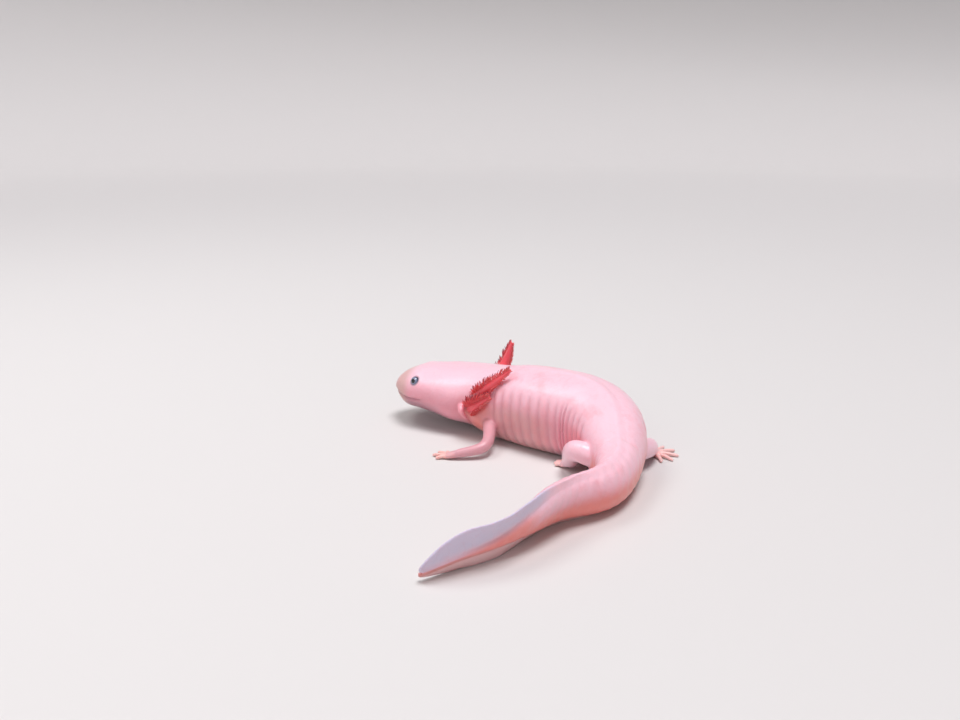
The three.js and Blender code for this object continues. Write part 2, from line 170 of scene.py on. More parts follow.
# Passes of smoothing, as many as give the same rounding in millimetres at each grain.
WIDE = int(round(30 * (0.34 / VOXEL) ** 2))
NARROW = WIDE // 2
SPREAD_PER_PASS = 0.7
PUSH_IN = 0.5
PUSH_OUT = 0.53
FIRST_EVENING = 6              # passes that take the steps of the grain off the skin
LAST_EVENING = 2

BODY_STEP = 0.8                # distance between the rings of the body and fins
BODY_AROUND = 96
SNOUT_RINGS = [0.02, 0.1, 0.25, 0.5, 0.8, 1.2]      # closer ones where the tip rounds off
AFTER_SNOUT = 1.7
# Rings along a form, and corners of each ring.
LIMB_RINGS = (40, 32)
PALM_RINGS = (14, 24)
DIGIT_RINGS = (18, 16)
GILL_RINGS = (40, 24)
FILAMENT_RINGS = (6, 6)
TIP_STEPS = np.array([0.5, 0.25, 0.1, 0.03])    # where a rounded tip gets more rings
TIP_LEAST = 0.12               # share of the thickness that its last ring keeps

# Rounding where forms meet: its strength at the gills and the keel, to 1 at the limbs.
FILLET = {"gill": 0.75, "keel": 1.5, "pull": 0.6, "no_digit": 0.1}
WRIST = {"digit": 0.25, "half_width": 0.15}
MID_BODY = 60                  # first guess of where limbs and gills sit along the body
OFF_BODY = 1.6                 # how soon the marks of the body end on limbs and gills

GROOVES = {
    "first": 62.5, "pitch": 4.6, "count": 14, "depth": 0.62, "half_width": 1.25, "slant": 1.6,
    "top": (0.72, 0.4), "bottom": (-0.97, -0.7),
}
CHEVRONS = {"start": (130, 142), "end": (226, 211), "pitch": 4.4, "depth": 0.07, "slant": 0.55}
GULAR = {"s": 45.5, "depth": 0.75, "half_width": 0.9, "slant": 0.12, "top": (0.1, -0.35)}
MOUTH_GROOVE = {"depth": 0.5, "half_width": 0.42, "end": (19.8, 17.5)}
LIP_HEIGHT = 0.16
LIPS = [(1.1, 0.6, 1.0), (-1.2, 0.7, 0.6)]      # height over the mouth line, width, amount
HEAD_END = 30
NOSTRIL = {
    "along": 1.0, "side": 3.9, "up": 1.9, "radius": 0.6, "depth": 0.55, "stretch": 0.5, "last": 10,
}
EYE_RIM = {"radius": 2.35, "half_width": 0.45, "height": 0.22}
CORNEA = {"bulge": 0.05, "half_angle": 38}
EYE_POLAR = [0.5, *np.linspace(3, 177, 50), 179.5]
EYE_AROUND = 64

FILAMENT_SIZES = [(0.23, 0.18), (0.18, 0.14), (0.08, 0.08)]
FILAMENT_ROUND = 0.1
FILAMENT = {
    "rows": 60, "first": 0.06, "last": 0.97, "within": (0.02, 0.98),
    "layers": (0.1, 0.5, 0.9), "layer_jitter": 0.15,        # how far outwards they lean
    "length": 3.0, "least": 0.55, "fuller": 0.5, "skew": 0.7, "uneven": (0.55, 1.2),
    "under": 0.4,              # length on the lower edge of a gill, to the upper edge
    "edge": (-0.2, 0.3), "upwards": 0.5,        # from which way round the edge is the upper one
    "lean": (0.2, 1.0), "lean_at_root": 0.2, "sweep": (0.2, 1.3),
    "sunk": 0.55, "knee": 0.35, "dark": 0.25,
}
LEG_MUSCLE = 0.5
SNOUT_BLUNT = {"by": 1.0, "span": (14, 2)}      # how far the tip is drawn back
KEEL_END = 172                 # up to here the fins are only a soft ridge in the skin
KEEL_FADE = 12

# Broad forms raised on (or sunk into) both sides of the body: distance, how far to the
# side, how far up, reach and height.
FORMS = [
    (34, 15.5, -5.0, 8.0, 0.9),      # cheeks, full behind the corner of the mouth
    (23, 9.5, 8.5, 5.0, -0.55),      # hollow behind the eye
    (15, 9.6, 8.2, 3.2, 0.5),        # brow over the eye
    (6, 7.5, 4.5, 3.5, -0.3),        # hollow between the nostril and the eye
    (28, 0.0, 12.2, 7.0, -0.45),     # shallow groove down the crown
    (22, 0.0, -11.5, 8.0, 0.5),      # floor of the mouth
    (52, 16.5, 3.0, 4.5, -1.0),      # waist of the neck behind the gills
    (60, 14.0, -5.0, 6.0, 0.7),      # shoulder
    (131, 9.5, 1.0, 7.0, 0.6),       # hip
    (138, 0.0, -9.0, 5.0, 0.7),      # vent
]

# Forms of the snout: distance, reach, span of the height over which they come in, height.
SNOUT_FORMS = [
    (7, 9, (-0.3, 0.9), -0.75),      # the top slopes down to the tip
    (9, 5, (-0.1, -0.7), 0.9),       # full chin
]

# ---------------------------------------------------------------- colours

# Some of these stand for painted light and shade: the pale back, and the darker belly, arm, head
# underside, groove, snout and lower tail colours.
HEX = {
    "flank": "EBA0AE", "back": "FBCCD9", "belly": "AE8A93", "shaded_throat": "A57684",
    "snout": "C49885", "arm": "D8A0A9", "digit": "F9C6BA", "blush": "EC858E",
    "beige": "D9A8A2", "crease_shade": "C27C8B", "muscle_and_shade": "EE7C68", "seam": "D66E60",
    "clear_fin": "C9C8DF", "pale_fin": "F2D0CF", "glow": "F28674", "flap": "F0A0AC",
    "gill": "F25C66", "gill_root": "F6938C", "gill_tip": "5E2444", "vein": "CF5068",
    "pupil": "12131C", "iris": "717C97", "iris_ring": "8E99B0", "eye_rim": "4A4656",
    "lid": "877083", "floor": "D8D6D4",
}


def linear(name):
    """Linear colour of a named sRGB hex value."""
    text = HEX[name]
    parts = [int(text[i:i + 2], 16) / 255 for i in (0, 2, 4)]
    return [p / 12.92 if p <= 0.04045 else ((p + 0.055) / 1.055) ** 2.4 for p in parts] + [1.0]


# Colours of the skin, laid over the flank colour in turn: mask, where it starts and is
# whole, how strong it gets, how far the noise frays its edge, colour.
SKIN_LAYERS = [
    # paler back: painted light from above, on the upper sides and on the legs
    ("back", 0.0, 1.0, 1.0, 0.4, "back"),
    # darker arms: painted shade
    ("arm", 0.1, 0.9, 1.0, 0.25, "arm"),
    # darker belly: painted shade underneath
    ("belly", 0.1, 0.9, 0.8, 0.25, "belly"),
    # darker underside of the head: painted shade
    ("shaded_throat", 0.1, 0.9, 0.75, 0.25, "shaded_throat"),
    # snout: its own yellowish tone, darkened further with painted shade
    ("snout", 0.1, 0.9, 0.6, 0.3, "snout"),
    ("blush", 0.1, 0.9, 0.5, 0.4, "blush"),
    ("beige", 0.1, 0.9, 0.55, 0.5, "beige"),
    ("mottle", 0.4, 1.0, 0.4, 1.7, "blush"),
    # orange of the tail: painted shade on its lower side, and the muscle's own colour towards its
    # thin end
    ("muscle_and_shade", 0.05, 0.95, 0.75, 0.35, "muscle_and_shade"),
    ("clear_fin", 0.05, 1.0, 0.85, 0.4, "clear_fin"),
    ("pale_fin", 0.1, 0.9, 0.85, 0.25, "pale_fin"),
    ("seam", 0.1, 1.0, 0.7, 0.3, "seam"),
    ("digit", 0.2, 1.0, 0.7, 0.2, "digit"),
    # painted shade in the grooves, folds, mouth line and nostrils
    ("crease_shade", 0.0, 1.0, 0.45, 0.1, "crease_shade"),
    ("glow", 0.05, 0.9, 0.7, 0.3, "glow"),
    ("flap", 0.3, 0.9, 0.9, 0.1, "flap"),
    ("gill_root", 0.3, 0.8, 1.0, 0.1, "gill_root"),
    ("gill", 0.3, 0.8, 1.0, 0.2, "gill"),
    ("lid", 0.2, 1.0, 0.65, 0.1, "lid"),
]

# Where these come in: the spans of the distance and of the height, which is -1 under the
# belly and 1 along the back. None is everywhere.
COLOUR_SPANS = {
    # painted light on the upper half
    "back": (None, (-0.4, 1.0)),
    # painted shade under the belly
    "belly": ((150, 120), (-0.35, -0.95)),
    # painted shade under the head
    "shaded_throat": ((42, 16), (0.15, -0.7)),
    # the snout's own yellowish tone, with painted shade
    "snout": ((17, 3), None),
    "mottle": ((36, 66), None),
    "seam": ((150, 185), None),
    # painted shade low on the tail, and the muscle's own colour at its end
    "muscle_and_shade": ((108, 144), None),
}
# Patches of the flank: distance of the middle, reach, span of the height.
COLOUR_PATCHES = {"beige": (74, 20, (0.5, -0.2)), "blush": (119, 13, (0.5, 0.0))}
# how much the painted light of the back fades, and over which span of the tail
BACK_FADE = {"by": 0.2, "span": (130, 165)}
SALMON = {"height": (0.7, -0.35), "whole": (192, 206)}     # painted shade low on the tail, then the muscle's own orange over all of it
SEAM = {"down": 0.9, "half_width": 1.2}
FIN_COLOUR = (184, 200)        # over this span the fins turn clear and grey
PALE_FIN = (150, 180)          # and over this one the lower fin turns pale
FIN_SIDE = 0.5                 # half the width of the change from the upper to the lower fin
MOTTLE = 0.5
CREASE = 0.6                   # how dark the painted shade in grooves and folds is, to that of the mouth line
GLOW = {"behind": 6.5, "below": 2.5, "reach": 6.5}         # red skin behind a gill's root
GILL_RED = (0.06, 0.4)         # share of a stalk over which it turns from pale to red

# ---------------------------------------------------------------- curves

def smooth(rows):
    """Smooth curve through the rows of a table; gives the rows at an array of distances."""
    table = np.asarray(rows, float)
    knots, values = table[:, 0], table[:, 1:]
    padded_knots = np.concatenate([[knots[1]], knots, [knots[-2]]])
    padded_values = np.concatenate([values[1:2], values, values[-2:-1]])

    def at(s):
        s = np.clip(np.asarray(s, float), knots[0], knots[-1])
        i = np.clip(np.searchsorted(knots, s, side="right"), 1, len(knots) - 1)
        t0, t1 = knots[i - 1], knots[i]
        before = (t1 - t0) * 0.5 / (t0 - padded_knots[i - 1])
        after = (t1 - t0) * 0.5 / (padded_knots[i + 2] - t1)
        p = (s - t0) / (t1 - t0)
        p2, p3 = p ** 2, p ** 3
        weights = (
            -before * p3 + 2 * before * p2 - before * p,
            (1 + before) * p3 + (-1.5 - 2 * before) * p2 + (-0.5 + before) * p + 1,
            (-1 - after) * p3 + (1.5 + after) * p2 + 0.5 * p,
            after * p3 - after * p2,
        )
        return sum(w[..., None] * padded_values[i - 1 + k] for k, w in enumerate(weights))
    return at


def step_up(low, high, x):
    """0 below low, 1 above high, smooth between; the other way round if low is above high."""
    p = np.clip((x - low) / (high - low), 0, 1)
    return p * p * (3 - 2 * p)


def bump(x, half_width):
    """A smooth bump of height 1 around 0."""
    return np.exp(-(x / half_width) ** 2)


def round_off(s, length):
    return np.sqrt(1 - (1 - np.clip(s / length, 0, 1)) ** 2)


def power(value, exponent):
    return np.sign(value) * np.abs(value) ** exponent


def unit(v):
    return v / np.linalg.norm(v, axis=-1, keepdims=True)


def centripetal(joints):
    """Smooth curve through a few joints, as a function of the fraction of its joints."""
    joints = np.asarray(joints, float)
    ends = np.concatenate([[2 * joints[0] - joints[1]], joints, [2 * joints[-1] - joints[-2]]])
    spans = len(joints) - 1

    def at(t):
        t = np.atleast_1d(np.asarray(t, float)) * spans
        i = np.clip(np.floor(t).astype(int), 0, spans - 1)
        p = (t - i)[:, None]
        a, b, c, d = (ends[i + k] for k in range(4))
        root_gaps = (np.sqrt(np.linalg.norm(v, axis=1))[:, None] for v in (b - a, c - b, d - c))
        da, db, dc = root_gaps
        go = ((b - a) / da - (c - a) / (da + db) + (c - b) / db) * db
        arrive = ((c - b) / db - (d - b) / (db + dc) + (d - c) / dc) * db
        squared = 3 * (c - b) - 2 * go - arrive
        cubed = 2 * (b - c) + go + arrive
        return b + go * p + squared * p ** 2 + cubed * p ** 3
    return at


# ---------------------------------------------------------------- midline

heading_at = smooth(COURSE)
body_at = smooth(BODY)
belly_at = smooth(BELLY)
lean_at = smooth(LEAN)
ventral_at = smooth(VENTRAL_FIN)

headings = np.radians(heading_at(np.arange(TOTAL_LENGTH) + 0.5)[:, 0])
steps = np.stack([np.cos(headings), np.sin(headings)], 1)
midline = np.concatenate([[[0, 0]], np.cumsum(steps, 0)])
midline -= midline[REST]


def frames(s):
    """Centre of the sections at distances s and the ways to the right, back and tail."""
    s = np.asarray(s, float)
    knots = np.arange(TOTAL_LENGTH + 1)
    heading = np.radians(heading_at(s)[..., 0])
    lean = np.radians(lean_at(s)[..., 0])
    body = body_at(s)
    fin = np.where(s > VENTRAL_FIN[0][0], ventral_at(s)[..., 0], 0)
    high = body[..., 3] + (body[..., 2] + fin) * np.cos(lean)
    x, y = (np.interp(s, knots, column) for column in midline.T)
    centre = np.stack([x, y, high], -1)
    level = np.stack([-np.sin(heading), np.cos(heading), 0 * heading], -1)
    up = np.array([0, 0, 1.0])
    cosine, sine = np.cos(lean)[..., None], np.sin(lean)[..., None]
    right = level * cosine - up * sine
    back = up * cosine + level * sine
    return centre, right, back, np.cross(right, back)


def place(s, u, w):
    """Points at distances s, u to the right and w towards the back."""
    centre, right, back, _ = frames(s)
    return centre + right * np.asarray(u)[..., None] + back * np.asarray(w)[..., None]


def locate(points, s):
    """Distance, way to the right and way up of points, from a first guess of the distance."""
    most_of_the_way = 0.8      # keeps points on the inside of a bend from overshooting
    for _ in range(3):
        centre, _, _, tail = frames(s)
        s = np.clip(s + ((points - centre) * tail).sum(1) * most_of_the_way, 0, TOTAL_LENGTH)
    centre, right, back, _ = frames(s)
    away = points - centre
    return s, (away * right).sum(1), (away * back).sum(1)


def body_size(s):
    """Half width, height above the centre and depth below it, rounded off at the snout."""
    body = body_at(s)
    wide = round_off(s, SNOUT_WIDTH_ROUND)
    high = round_off(s, SNOUT_HEIGHT_ROUND)
    return body[..., 0] * wide, body[..., 1] * high, body[..., 2] * high


# ---------------------------------------------------------------- closed forms

def body_rings():
    s = np.concatenate([SNOUT_RINGS, np.arange(AFTER_SNOUT, MUSCLE_END, BODY_STEP), [MUSCLE_END]])
    turn = np.linspace(0, 2 * np.pi, BODY_AROUND, endpoint=False)
    half_width, above, below = (size[:, None] for size in body_size(s))
    exponent = 2 / np.where(np.sin(turn) > 0, SQUARENESS, belly_at(s))
    across = power(np.cos(turn), exponent) * half_width
    rise = power(np.sin(turn), exponent)
    high = np.where(rise > 0, above, below) * rise
    return place(np.repeat(s[:, None], BODY_AROUND, 1), across, high), s


def fin_rings(table, side):
    """The whole blade over (side 1) or under (side -1) the body, rooted in its flesh."""
    first = table[0][0]
    s = np.arange(first, TOTAL_LENGTH + 0.01, BODY_STEP)
    s[-1] = TOTAL_LENGTH
    _, above, below = body_size(s)
    flesh = above if side > 0 else below
    height, root = smooth(table)(s).T
    reach = height * round_off(TOTAL_LENGTH - s + FIN_TIP_BLUNT, FIN_TIP_ROUND)
    reach = reach * step_up(first + FIN_RISE[0], first + FIN_RISE[1], s)
    reach = np.maximum(reach, FIN_EDGE)[:, None]
    wave = FIN_WAVE["height"] * np.sin(2 * np.pi * s / FIN_WAVE["length"])
    ripple_turn = 2 * np.pi * s / FIN_RIPPLE["length"] + FIN_RIPPLE["phase"]
    ripple = FIN_RIPPLE["height"] * np.sin(ripple_turn)
    swing = ((wave + ripple) * height / FIN_TALLEST)[:, None] * FIN_LEVELS ** 2

    thick = (1 - FIN_LEVELS) ** FIN_TAPER
    halves = root[:, None] * thick + np.minimum(FIN_EDGE, root)[:, None] * (1 - thick)
    halves[:, -1] *= FIN_RIM
    sunk = np.minimum(flesh * FIN_ROOT["share"], FIN_ROOT["deepest"])
    sunk_half = (root * FIN_ROOT["wider"])[:, None]
    right = np.concatenate([sunk_half, swing + halves], 1)
    left = np.concatenate([-sunk_half, swing - halves], 1)
    high = np.concatenate([(flesh - sunk)[:, None], flesh[:, None] + reach * FIN_LEVELS], 1)
    u = np.concatenate([right, left[:, ::-1]], 1)
    w = side * np.concatenate([high, high[:, ::-1]], 1)
    rings = place(np.repeat(s[:, None], u.shape[1], 1), u, w)
    return (rings if side > 0 else rings[:, ::-1]), s


def stalk_rings(joints, sizes, count, around, tip_round=0.0):
    """Rings of a tapering stalk along a smooth curve through its joints."""
    curve = centripetal(joints)
    t = np.linspace(0, 1, count + 1)
    if tip_round:
        t = np.sort(np.concatenate([t, 1 - tip_round * TIP_STEPS]))
    centre = curve(t)
    nudge = 1e-3
    tangent = unit(curve(np.minimum(t + nudge, 1)) - curve(np.maximum(t - nudge, 0)))
    side = unit(np.cross(np.array([0, 0, 1.0]), tangent))
    top = np.cross(tangent, side)
    size = smooth([(i / (len(sizes) - 1), *pair) for i, pair in enumerate(sizes)])(t)
    if tip_round:
        size = size * np.maximum(round_off(1 - t, tip_round), TIP_LEAST)[:, None]
    turn = 2 * np.pi * (np.arange(around) + 0.5) / around
    across = side[:, None] * (np.cos(turn)[:, None] * size[:, None, :1])
    upwards = top[:, None] * (np.sin(turn)[:, None] * size[:, None, 1:])
    return centre[:, None] + across + upwards, t


def beyond(start, degrees, length, height):
    """The point a length away from the start in a level direction, at its own height."""
    turn = math.radians(degrees)
    x = start[0] + math.cos(turn) * length
    y = start[1] + math.sin(turn) * length
    return np.array([x, y, height])


def limb_forms(limb):
    """Arm or leg with its palm and digits: (rings, fraction along, how much it is a digit)."""
    elbow = np.array(limb["bend"], float)
    wrist = np.array(limb["end"], float)
    heading = limb["heading"]
    joints = [place(*map(float, limb["root"])), elbow, wrist]
    forms = [(*stalk_rings(joints, limb["sizes"], *LIMB_RINGS), 0.0)]
    palm = [
        wrist + unit(elbow - wrist),
        beyond(wrist, heading, PALM["length"] * PALM["middle"], PALM["middle_up"]),
        beyond(wrist, heading, PALM["length"], PALM["front_up"]),
    ]
    palm_sizes = [limb["sizes"][-1], PALM["half"], PALM["front_half"]]
    forms.append((*stalk_rings(palm, palm_sizes, *PALM_RINGS, PALM["round"]), 0.5))

    def onwards(start, whole, turn, joint):
        share, turned, height = joint
        return beyond(start, heading + turn * turned, whole * share, height)

    middle_digit = (len(limb["digits"]) - 1) / 2
    for i, length in enumerate(limb["digits"]):
        turn = (middle_digit - i) * limb["spread"]
        root = onwards(wrist, PALM["length"], turn, DIGIT_ROOT)
        knuckle = onwards(root, length, turn, DIGIT_KNUCKLE)
        tip = onwards(root, length, turn, DIGIT_TIP)
        digit = stalk_rings([root, knuckle, tip], DIGIT_SIZES, *DIGIT_RINGS, DIGIT_ROUND)
        forms.append((*digit, 1.0))
    return forms


def all_gills():
    """Each gill: its name, its side (-1 left, 1 right) and its sizes."""
    for side_name, levels in GILLS.items():
        for level, gill in levels.items():
            yield f"{side_name}_{level}", -1 if side_name == "left" else 1, gill


def gill_joints(side, gill):
    """Root, middle and tip of a gill stalk, and the way outwards from the body."""
    s, outward, up = gill["root"]
    tailward, sideward, backward = gill["tip"]
    _, right, back, tail = frames(float(s))
    outwards = right * side
    root = place(float(s), side * (outward - GILL_SUNK), float(up))

    def along(fraction, arch):
        lift = sideward * fraction + GILL_SUNK + arch
        return root + tail * tailward * fraction + outwards * lift + back * backward * fraction
    return [root, along(GILL_MIDDLE, GILL_ARCH), along(1, 0)], outwards


def gill_sizes(radius):
    return [(radius, radius), (radius * GILL_WAIST, radius * GILL_WAIST), GILL_TIP]


# ---------------------------------------------------------------- meshes

def tube_faces(count, around, first):
    """Quads round a run of rings, and a cap at each end."""
    i = np.arange(count - 1)[:, None] * around
    j = np.arange(around)[None, :]
    k = (j + 1) % around
    quads = np.stack([i + j, i + k, i + around + k, i + around + j], -1).reshape(-1, 4) + first
    last = first + (count - 1) * around
    caps = [list(range(first + around - 1, first - 1, -1)), list(range(last, last + around))]
    return quads.tolist() + caps


def mesh_of(name, forms):
    """One mesh of several closed forms, each given as its rings."""
    faces = []
    first = 0
    for rings in forms:
        faces += tube_faces(rings.shape[0], rings.shape[1], first)
        first += rings.shape[0] * rings.shape[1]
    mesh = bpy.data.meshes.new(name)
    mesh.from_pydata(np.concatenate([rings.reshape(-1, 3) for rings in forms]).tolist(), [], faces)
    mesh.validate()
    return mesh


def piece(name, mesh, material):
    """Object of a finished mesh that rides on the body."""
    ob = bpy.data.objects.new(name, mesh)
    bpy.context.scene.collection.objects.link(ob)
    mesh.materials.clear()
    mesh.materials.append(material)
    mesh.shade_smooth()
    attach(ob, "root")
    return ob


def read_vertices(mesh, what="co"):
    values = np.empty(len(mesh.vertices) * 3)
    mesh.vertices.foreach_get(what, values)
    return values.reshape(-1, 3)


def write_vertices(mesh, points):
    mesh.vertices.foreach_set("co", points.ravel())
    mesh.update()


def write_attribute(mesh, name, values):
    layer = mesh.attributes.new(name, "FLOAT", "POINT")
    layer.data.foreach_set("value", np.asarray(values, np.float32))


def edge_ends(mesh):
    ends = np.empty(len(mesh.edges) * 2, np.int64)
    mesh.edges.foreach_get("vertices", ends)
    return ends.reshape(-1, 2)


def remeshed(mesh):
    """The union of the closed forms of a mesh, as one even mesh."""
    ob = bpy.data.objects.new("grown", mesh)
    bpy.context.scene.collection.objects.link(ob)
    remesh = ob.modifiers.new("remesh", "REMESH")
    remesh.mode = "VOXEL"
    remesh.voxel_size = VOXEL
    made = bpy.data.meshes.new_from_object(ob.evaluated_get(bpy.context.evaluated_depsgraph_get()))
    bpy.data.objects.remove(ob)
    drop_hollows(made)
    return made


def drop_hollows(mesh):
    """Deletes the small closed hollows that lie inside the flesh, and keeps the outer shell."""
    ends = edge_ends(mesh)
    # Each vertex takes the lowest number it can reach, until each shell has one number.
    shell = np.arange(len(mesh.vertices))
    settled = False
    while not settled:
        lowest = shell[ends].min(axis=1)
        lower = shell.copy()
        for joined in (*shell[ends].T, *ends.T):
            np.minimum.at(lower, joined, lowest)
        lower = lower[lower]
        settled = (lower == shell).all()
        shell = lower
    hollow = np.flatnonzero(shell != np.bincount(shell).argmax())
    edit = bmesh.new()
    edit.from_mesh(mesh)
    edit.verts.ensure_lookup_table()
    bmesh.ops.delete(edit, geom=[edit.verts[i] for i in hollow], context="VERTS")
    edit.to_mesh(mesh)
    edit.free()


class Web:
    """The edges of a mesh, for spreading values from vertex to vertex."""

    def __init__(self, mesh):
        ends = edge_ends(mesh)
        self.count = len(mesh.vertices)
        self.starts = np.concatenate([ends[:, 0], ends[:, 1]])
        self.ends = np.concatenate([ends[:, 1], ends[:, 0]])
        self.degree = np.maximum(np.bincount(self.starts, minlength=self.count), 1)

    def mean(self, values):
        """Mean over the neighbours of each vertex."""
        if values.ndim == 2:
            return np.stack([self.mean(column) for column in values.T], 1)
        return np.bincount(self.starts, values[self.ends], self.count) / self.degree

    def spread(self, values, times):
        for _ in range(times):
            values = values + (self.mean(values) - values) * SPREAD_PER_PASS
        return values

    def even_out(self, points, times):
        """Smooths points without shrinking them (a push in, then a push out)."""
        for _ in range(times):
            points = points + (self.mean(points) - points) * PUSH_IN
            points = points - (self.mean(points) - points) * PUSH_OUT
        return points


# ---------------------------------------------------------------- the skin

def source_forms():
    """All forms under the skin: (rings, kind, fraction or distance along, amount of digit)."""
    rings, s = body_rings()
    forms = [(rings, "body", s, 0.0)]
    for table, side in ((DORSAL_FIN, 1), (VENTRAL_FIN, -1)):
        rings, s = fin_rings(table, side)
        forms.append((rings, "fin", s, 0.0))
    for name, limb in LIMBS.items():
        for rings, t, digit in limb_forms(limb):
            forms.append((rings, "arm" if name.endswith("fore") else "leg", t, digit))
    for _, side, gill in all_gills():
        joints, _ = gill_joints(side, gill)
        rings, t = stalk_rings(joints, gill_sizes(gill["radius"]), *GILL_RINGS, GILL_ROUND)
        forms.append((rings, "flap" if gill.get("bare") else "gill", t, 0.0))
    return forms


def nearest_source(points, forms):
    """For each point, the form it belongs to and where along that form it lies."""
    corners = np.concatenate([rings.reshape(-1, 3) for rings, *_ in forms])
    counts = [rings.shape[0] * rings.shape[1] for rings, *_ in forms]
    owner = np.repeat(np.arange(len(forms)), counts)
    along = np.concatenate([np.repeat(t, rings.shape[1]) for rings, _, t, _ in forms])
    tree = KDTree(len(corners))
    for i, corner in enumerate(corners):
        tree.insert(corner, i)
    tree.balance()
    found = np.array([tree.find(point)[1] for point in points])
    return owner[found], along[found]


def border(share):
    """1 where a share is half, 0 where it is none or whole."""
    return 4 * share * (1 - share)


def soft_shares(web, kinds, along, digits):
    """How much each point belongs to each kind of form, softened where forms meet."""
    passes = {"arm": WIDE, "leg": WIDE, "gill": NARROW, "flap": NARROW, "fin": NARROW}
    share = {kind: web.spread((kinds == kind).astype(float), n) for kind, n in passes.items()}
    share["keel"] = web.spread(((kinds == "fin") & (along < KEEL_END)).astype(float), WIDE)
    share["digit"] = web.spread(digits, NARROW)
    share["limb"] = share["arm"] + share["leg"]
    return share


def fillet(web, points, share):
    """Rounds off where limbs, gills and fins leave the body, and the wrists and ankles."""
    joint = border(share["limb"]) + FILLET["gill"] * border(share["gill"] + share["flap"])
    joint = (joint + FILLET["keel"] * share["keel"]) * (share["digit"] < FILLET["no_digit"])
    wrist = share["limb"] * bump(share["digit"] - WRIST["digit"], WRIST["half_width"])
    pull = FILLET["pull"] * np.clip(joint + wrist, 0, 1)[:, None]
    for _ in range(WIDE):
        points = points + (web.mean(points) - points) * pull
    return web.even_out(points, LAST_EVENING)


def places_on_body(points, kinds, along, share):
    """Where points lie: distance s, ways u and w, depth of the body below its centre there,
    height (-1 under the belly, 1 along the back), and how far they are body or flesh of it."""
    guess = np.where((kinds == "body") | (kinds == "fin"), along, MID_BODY)
    s, u, w = locate(points, guess)
    _, above, below = body_size(s)
    high = w / np.where(w > 0, above, below)
    off_body = share["limb"] + share["gill"] + share["flap"]
    on_body = np.clip(1 - OFF_BODY * off_body, 0, 1)
    flesh = on_body * (1 - share["fin"] * step_up(KEEL_END - KEEL_FADE, KEEL_END, s))
    return SimpleNamespace(s=s, u=u, w=w, below=below, high=high, on_body=on_body, flesh=flesh)


def broad_forms(at, share):
    """Height of the broad forms of the body and snout and of the leg muscle."""
    depth = LEG_MUSCLE * share["leg"] * (1 - share["digit"])
    for s, side, up, reach, height in FORMS:
        for hand in ((-1, 1) if side else (1,)):
            gap2 = (at.s - s) ** 2 + (at.u - hand * side) ** 2 + (at.w - up) ** 2
            depth += height * np.exp(-gap2 / reach ** 2) * at.flesh
    for s, reach, span, height in SNOUT_FORMS:
        depth += height * bump(at.s - s, reach) * step_up(*span, at.high) * at.flesh
    return depth


def costal_grooves(at):
    """Depth of the upright grooves between the ribs, from 0 to 1."""
    slanted = at.s - GROOVES["first"] + GROOVES["slant"] * at.high
    nearest = np.clip(np.round(slanted / GROOVES["pitch"]), 0, GROOVES["count"] - 1)
    groove = bump(slanted - nearest * GROOVES["pitch"], GROOVES["half_width"])
    return groove * step_up(*GROOVES["top"], at.high) * step_up(*GROOVES["bottom"], at.high)


def throat_fold(at):
    fold = bump(at.s - GULAR["s"] - GULAR["slant"] * np.abs(at.w), GULAR["half_width"])
    return fold * step_up(*GULAR["top"], at.high)


def tail_chevrons(at):
    """Faint chevrons of the tail muscle, from -1 to 1."""
    slanted = at.s + np.abs(at.w) * CHEVRONS["slant"]
    wave = np.sin(2 * np.pi * slanted / CHEVRONS["pitch"])
    return wave * step_up(*CHEVRONS["start"], at.s) * step_up(*CHEVRONS["end"], at.s)


def mouth_line(behind):
    """Height of the mouth line over the centre of the head."""
    t = np.linspace(0, 1, 40)
    weights = np.stack([(1 - t) ** 2, 2 * t * (1 - t), t ** 2])
    x = np.array([MOUTH["start"], MOUTH["corner"] * MOUTH["sag_at"], MOUTH["corner"]]) @ weights
    y = np.array([MOUTH["front"], MOUTH["sag"], MOUTH["corner_height"]]) @ weights
    return np.interp(behind, x, y)


def face_marks(points, at):
    """Mouth line, lips, nostrils and rims of the eyes, from 0 to about 1."""
    centre, right, back, tail = frames(0.0)
    away = points - centre
    behind, side, up = away @ tail, away @ right, away @ back
    in_mouth = step_up(*MOUTH_GROOVE["end"], behind) * (at.s < HEAD_END) * at.flesh
    off_line = up - mouth_line(behind)
    mouth = bump(off_line, MOUTH_GROOVE["half_width"]) * in_mouth
    lips = sum(amount * bump(off_line - over, width) for over, width, amount in LIPS) * in_mouth

    nostril = np.zeros(len(points))
    rim = np.zeros(len(points))
    for hand in (-1, 1):
        gap2 = (behind - NOSTRIL["along"]) ** 2 * NOSTRIL["stretch"]
        gap2 = gap2 + (side - hand * NOSTRIL["side"]) ** 2 + (up - NOSTRIL["up"]) ** 2
        nostril += np.exp(-gap2 / NOSTRIL["radius"] ** 2) * (at.s < NOSTRIL["last"])
        eye = place(EYE["s"], hand * EYE["side"], EYE["up"])
        gap = np.linalg.norm(points - eye, axis=1)
        rim += bump(gap - EYE_RIM["radius"], EYE_RIM["half_width"])
    return mouth, lips, nostril, rim


def near_gills(points):
    """How close each point is to the skin behind the root of a gill, from 0 to 1."""
    close = np.zeros(len(points))
    for _, side, gill in all_gills():
        joints, _ = gill_joints(side, gill)
        _, _, back, tail = frames(float(gill["root"][0]))
        middle = joints[0] + tail * GLOW["behind"] - back * GLOW["below"]
        gap = np.linalg.norm(points - middle, axis=1)
        close = np.maximum(close, bump(gap, GLOW["reach"]))
    return close


def within(span, x):
    return step_up(*span, x) if span else 1.0


